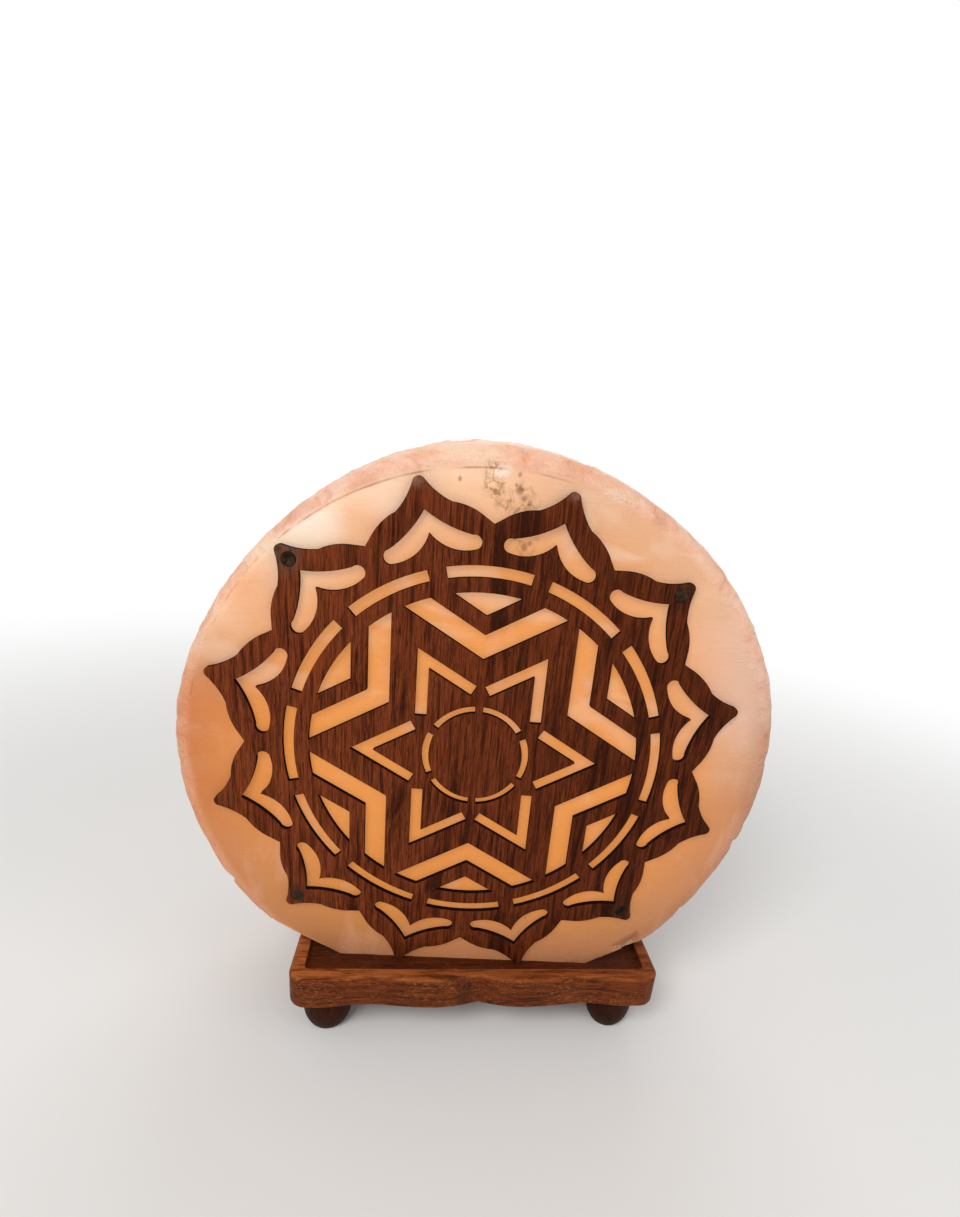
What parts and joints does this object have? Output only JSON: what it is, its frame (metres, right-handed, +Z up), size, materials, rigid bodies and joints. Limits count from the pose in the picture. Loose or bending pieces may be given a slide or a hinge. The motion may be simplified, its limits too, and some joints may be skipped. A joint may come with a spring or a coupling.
{
  "type": "salt crystal lamp",
  "caption": "Round rock salt block lamp with a fretwork star disc on its face, standing on a small footed wooden board, lit by a clip-in bulb holder in a bore from below.",
  "frame": {"origin": "on the table under the middle of the salt block", "axes": "+Z up; the fretwork disc faces -Y; +X to the right as seen from the front"},
  "size_m": [0.2124, 0.0994, 0.2188],
  "materials": {
    "rock_salt": "translucent pink rock salt, matt, grey veins",
    "fret_wood": "dark oiled rosewood, vertical streaks, charred cut edges",
    "dark_screw": "blackened",
    "board_wood": "brown oiled hardwood, grain along the board",
    "foot_wood": "dark stained turned wood",
    "zinc_screw": "zinc plated",
    "plug_plastic": "pale grey",
    "plate_steel": "zinc plated sheet",
    "spring_steel": "bright spring strip",
    "zinc_tube": "yellowish zinc plating",
    "holder_plastic": "off white thermoset",
    "shell_brass": "rolled",
    "block_ceramic": "unglazed",
    "brass_screw": "turned",
    "contact_brass": "sprung strip",
    "cap_metal": "nickel plated, rolled thread",
    "cap_glass": "black glass",
    "solder": "dull solder",
    "bulb_glass": "clear blown glass",
    "stem_glass": "clear pressed glass",
    "lead_wire": "copper coloured wire",
    "filament": "tungsten"
  },
  "bodies": {
    "root": {"salt_disc": "rock_salt", "mandala_panel": "fret_wood", "panel_screws": "dark_screw", "base_board": "board_wood", "foot_front_left": "foot_wood", "foot_front_right": "foot_wood", "foot_rear_left": "foot_wood", "foot_rear_right": "foot_wood", "foot_screws": "zinc_screw", "salt_screws": "zinc_screw", "salt_plugs": "plug_plastic"},
    "holder": {"holder_plate": "plate_steel", "nipple": "zinc_tube", "nipple_nut": "zinc_tube", "socket_cap": "holder_plastic", "socket_body": "holder_plastic", "socket_shell": "shell_brass", "terminal_block": "block_ceramic", "terminal_screws": "brass_screw", "socket_contact": "contact_brass"},
    "clip_left": {"spring_clip_left": "spring_steel"},
    "clip_right": {"spring_clip_right": "spring_steel"},
    "bulb_tip": {"bulb_contact": "solder"},
    "bulb": {"bulb_cap": "cap_metal", "bulb_insulator": "cap_glass", "bulb_glass": "bulb_glass", "bulb_stem": "stem_glass", "bulb_leads": "lead_wire", "bulb_filament": "filament"}
  },
  "joints": [
    {"name": "holder_slide", "type": "slide", "parent": "root", "child": "holder", "axis": [0, 0, 1], "range_m": [-0.095, 0]},
    {"name": "clip_left_flex", "type": "hinge", "parent": "holder", "child": "clip_left", "pos_m": [-0.02, 0, 0.018], "axis": [0, 1, 0], "range_deg": [0, 5], "stiffness_Nm_per_rad": 0.05, "springref_deg": -5.73},
    {"name": "clip_right_flex", "type": "hinge", "parent": "holder", "child": "clip_right", "pos_m": [0.02, 0, 0.018], "axis": [0, -1, 0], "range_deg": [0, 5], "stiffness_Nm_per_rad": 0.05, "springref_deg": -5.73},
    {"name": "bulb_lift", "type": "slide", "parent": "holder", "child": "bulb_tip", "axis": [0, 0, 1], "range_m": [0, 0.00987]},
    {"name": "bulb_turn", "type": "hinge", "parent": "bulb_tip", "child": "bulb", "pos_m": [0, 0, 0.0415], "axis": [0, 0, 1], "range_deg": [0, 1260]}
  ],
  "couplings": [
    {"joint": "bulb_turn", "follows": "bulb_lift", "rad_per_m": 2228.1}
  ]
}
